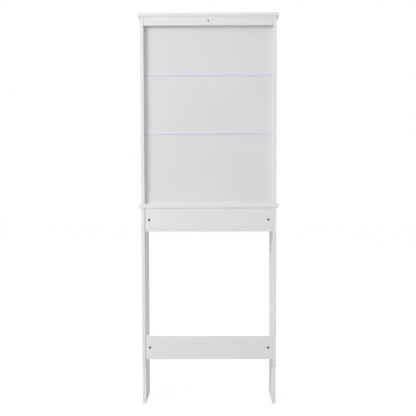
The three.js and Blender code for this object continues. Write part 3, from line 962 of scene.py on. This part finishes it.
CAMERA_DISTANCE = 3.087  # behind the rear face
CAMERA_SIDE = -0.0223  # from the rack's middle plane, along +X
CAMERA_HEIGHT = 1.021
CAMERA_TILT = math.radians(2.653)  # below the horizon
CAMERA_HEADING = math.radians(180.463)
CAMERA_ROLL = math.radians(0.155)
CAMERA_LENS = 60.85
CAMERA_SENSOR = 36


def make_floor():
    """A wide pale floor. For the camera alone it glows, so it looks as white as the background."""
    bm = bmesh.new()
    add_box(bm, (-FLOOR_REACH, -FLOOR_REACH, -FLOOR_THICKNESS), (FLOOR_REACH, FLOOR_REACH, 0))
    surface = Surface("pale_floor", roughness=0.9, Specular_IOR_Level=0.0)
    seen = surface.tree.nodes.new("ShaderNodeLightPath").outputs["Is Camera Ray"]
    surface.colour(surface.spread(seen, FLOOR_BOUNCE, FLOOR_SEEN))
    surface.shader.inputs["Emission Color"].default_value = (1, 1, 1, 1)
    surface.link(surface.spread(seen, 0, FLOOR_GLOW), surface.shader.inputs["Emission Strength"])
    make_object("studio_floor", bm, [surface.material])


def make_light(name, position, size, power):
    """A soft box that faces the rack and stays out of the picture."""
    light = bpy.data.lights.new(name, "AREA")
    light.shape = "RECTANGLE"
    light.size, light.size_y = size
    light.energy = power
    obj = bpy.data.objects.new(name, light)
    bpy.context.scene.collection.objects.link(obj)
    obj.location = position
    obj.rotation_euler = (Vector(LIGHTS_AIM) - Vector(position)).to_track_quat("-Z", "Y").to_euler()
    obj.visible_camera = False


def facing(tree, component, gain):
    """Light that grows with a direction's component, or against it where the gain is negative."""
    scaled = tree.nodes.new("ShaderNodeMath")
    scaled.operation = "MULTIPLY"
    scaled.inputs[1].default_value = gain
    tree.links.new(component, scaled.inputs[0])
    lit = tree.nodes.new("ShaderNodeMath")
    lit.operation = "MAXIMUM"
    lit.inputs[1].default_value = 0
    tree.links.new(scaled.outputs["Value"], lit.inputs[0])
    return lit.outputs["Value"]


def add_values(tree, a, b):
    """The sum of a socket and a second socket or number."""
    node = tree.nodes.new("ShaderNodeMath")
    tree.links.new(a, node.inputs[0])
    if isinstance(b, bpy.types.NodeSocket):
        tree.links.new(b, node.inputs[1])
    else:
        node.inputs[1].default_value = b
    return node.outputs["Value"]


def make_world():
    """White where the camera sees past the rack. As light, it is brighter from above and from -X."""
    world = bpy.data.worlds.new("studio")
    bpy.context.scene.world = world
    world.use_nodes = True
    tree = world.node_tree
    direction = tree.nodes.new("ShaderNodeSeparateXYZ")
    tree.links.new(tree.nodes.new("ShaderNodeTexCoord").outputs["Generated"], direction.inputs["Vector"])
    light = tree.nodes["Background"]
    light.inputs["Color"].default_value = (1, 1, 1, 1)
    from_above = facing(tree, direction.outputs["Z"], WORLD_FROM_ABOVE)
    from_side = facing(tree, direction.outputs["X"], -WORLD_FROM_SIDE)
    total = add_values(tree, add_values(tree, from_above, from_side), WORLD_BASE)
    tree.links.new(total, light.inputs["Strength"])

    white = tree.nodes.new("ShaderNodeBackground")
    white.inputs["Color"].default_value = (1, 1, 1, 1)
    path = tree.nodes.new("ShaderNodeLightPath")
    mix = tree.nodes.new("ShaderNodeMixShader")
    tree.links.new(path.outputs["Is Camera Ray"], mix.inputs["Fac"])
    tree.links.new(light.outputs["Background"], mix.inputs[1])
    tree.links.new(white.outputs["Background"], mix.inputs[2])
    tree.links.new(mix.outputs["Shader"], tree.nodes["World Output"].inputs["Surface"])


def make_camera():
    """The camera behind the rack, tipped a little down."""
    data = bpy.data.cameras.new("camera")
    data.lens = CAMERA_LENS
    data.sensor_width = CAMERA_SENSOR
    camera = bpy.data.objects.new("camera", data)
    bpy.context.scene.collection.objects.link(camera)
    camera.location = (CAMERA_SIDE, cad_high.y + CAMERA_DISTANCE, CAMERA_HEIGHT)
    camera.rotation_euler = Euler((math.pi / 2 - CAMERA_TILT, CAMERA_ROLL, CAMERA_HEADING), "XYZ")
    bpy.context.scene.camera = camera


# ---------------------------------------------------------------- making

make_top_board()
make_deck()
for side in HANDS:
    make_side_panel(side)
    make_leg_panel(side)
make_leg_rail("apron", raw_edges={RIGHT_END: JOINT_GAP, TOP_EDGE: TIGHT_GAP, LEFT_END: JOINT_GAP})
make_leg_rail("stretcher", raw_edges={RIGHT_END: JOINT_GAP, LEFT_END: JOINT_GAP})
make_top_rail()
for shelf_name in SHELVES:
    make_board(f"{shelf_name}_shelf", "z", raw_edges={RIGHT_END: 0.0, REAR_EDGE: 0.0, LEFT_END: 0.0})
    make_joining_strip(f"joining_strip_{shelf_name}")
for part_name in ("top", "middle", "bottom"):
    dress(f"back_panel_{part_name}", HARDBOARD)

for side in HANDS:
    for rail_name in ("apron", "stretcher"):
        make_rail_cam(rail_name, side)
        dress(f"{rail_name}_bolt_{side}", STEEL)
        dress(f"{rail_name}_dowel_{side}", BEECH)
    dress(f"top_rail_dowel_{side}", BEECH)
    for row_name in ROWS:
        corner = f"{side}_{row_name}"
        make_panel_cam(f"side_top_cam_{corner}", side, Z)
        make_panel_cam(f"side_foot_cam_{corner}", side, -Z)
        make_panel_cam(f"leg_cam_{corner}", side, Z)
        dress(f"top_bolt_{corner}", STEEL)
        dress(f"deck_bolt_{corner}", STEEL)
        for shelf_name in SHELVES:
            make_shelf_pin(f"{shelf_name}_shelf_pin_{corner}", side)

make_floor()
make_world()
for light_name, (position, size, power) in LIGHTS.items():
    make_light(light_name, position, size, power)
make_camera()
bpy.context.scene.view_settings.view_transform = "Standard"
